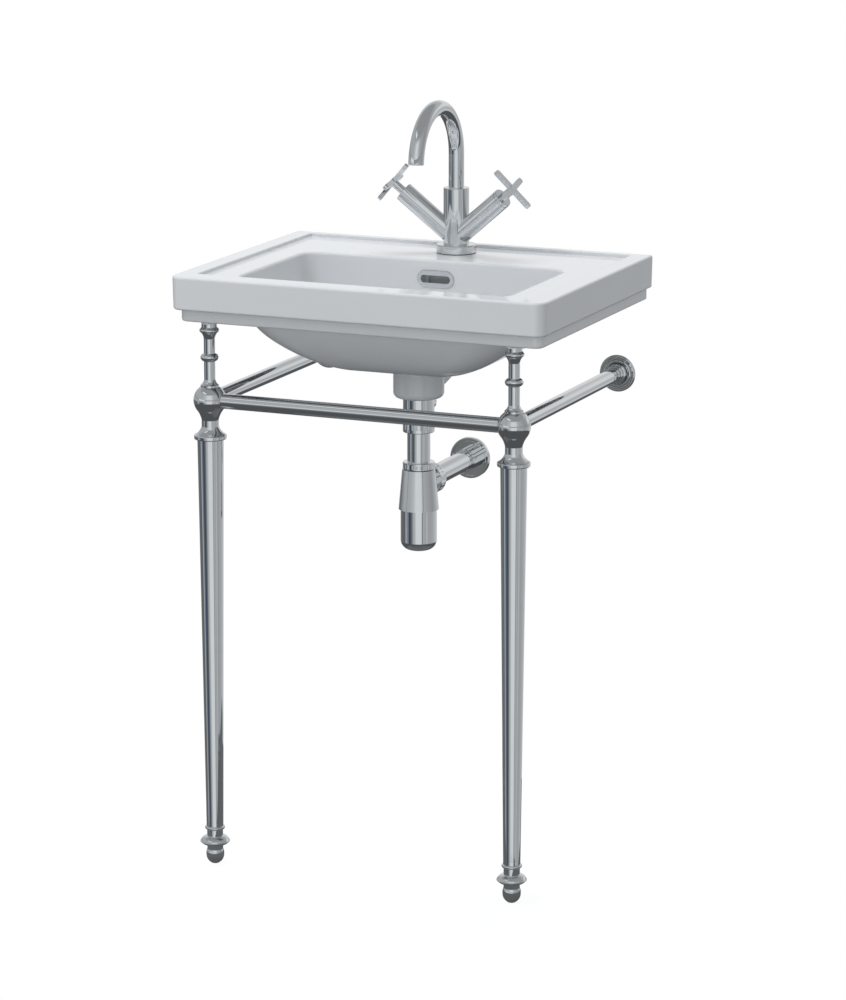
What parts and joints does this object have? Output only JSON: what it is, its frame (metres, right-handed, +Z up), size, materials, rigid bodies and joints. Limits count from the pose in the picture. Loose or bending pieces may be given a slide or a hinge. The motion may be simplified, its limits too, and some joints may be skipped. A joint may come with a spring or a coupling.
{
  "type": "console basin",
  "caption": "Rectangular glazed wall basin with a moulded bowl on turned front legs with towel rails, a cross-handle mixer with swivel spout, push waste and bottle trap.",
  "frame": {"origin": "on the floor below the middle of the basin's width and depth", "axes": "+Z up, +X to the viewer's right, +Y towards the wall"},
  "size_m": [0.5598, 0.4299, 1.0772],
  "materials": {
    "glazed_china": "glossy glaze",
    "chrome": "polished",
    "rubber": "matt",
    "brass": "machined",
    "steel": "machined",
    "plastic": "moulded"
  },
  "bodies": {
    "frame": {"basin": "glazed_china", "overflow_ring": "chrome", "waste_flange": "chrome", "waste_body": "chrome", "waste_port_cap": "chrome", "trap_inlet_nut": "chrome", "trap_inlet_tube": "chrome", "trap_top_nut": "chrome", "trap_body": "chrome", "trap_bottle": "chrome", "trap_outlet_nut": "chrome", "trap_outlet_pipe": "chrome", "outlet_wall_flange": "chrome", "tap_body": "chrome", "tap_base_ring": "chrome", "left_bonnet": "chrome", "right_bonnet": "chrome", "left_leg_foot": "chrome", "left_leg_tube": "chrome", "left_leg_hub": "chrome", "left_leg_spindle": "chrome", "right_leg_foot": "chrome", "right_leg_tube": "chrome", "right_leg_hub": "chrome", "right_leg_spindle": "chrome", "front_rail": "chrome", "left_side_rail": "chrome", "right_side_rail": "chrome", "left_rail_flange": "chrome", "right_rail_flange": "chrome", "waste_flange_seal": "rubber", "waste_gasket": "rubber", "trap_inlet_washer": "rubber", "trap_top_washer": "rubber", "trap_bottle_seal": "rubber", "trap_outlet_washer": "rubber", "tap_base_seal": "rubber", "tap_washer": "rubber", "tap_shank": "brass", "tap_tails": "brass", "tap_backnut": "brass", "left_cartridge": "brass", "right_cartridge": "brass", "waste_guide": "plastic", "left_leg_pad": "plastic", "right_leg_pad": "plastic"},
    "left_handle": {"left_handle": "chrome", "left_valve_spindle": "chrome"},
    "right_handle": {"right_handle": "chrome", "right_valve_spindle": "chrome"},
    "spout": {"spout": "chrome", "spout_seals": "rubber", "aerator": "plastic"},
    "waste_plug": {"waste_plug": "chrome", "waste_plug_seal": "rubber", "waste_plug_stem": "steel"}
  },
  "joints": [
    {"name": "left_handle_turn", "type": "hinge", "parent": "frame", "child": "left_handle", "pos_m": [-0.09269, 0.14182, 0.94734], "axis": [-0.7566, -0.1198, 0.6428], "range_deg": [0, 90]},
    {"name": "right_handle_turn", "type": "hinge", "parent": "frame", "child": "right_handle", "pos_m": [0.09269, 0.14182, 0.94734], "axis": [0.7566, -0.1198, 0.6428], "range_deg": [0, 90]},
    {"name": "spout_swivel", "type": "hinge", "parent": "frame", "child": "spout", "pos_m": [0, 0.1565, 0.95], "axis": [0, 0, 1], "range_deg": [-60, 60]},
    {"name": "plug_lift", "type": "slide", "parent": "frame", "child": "waste_plug", "axis": [0, 0, 1], "range_m": [0, 0.009]}
  ]
}
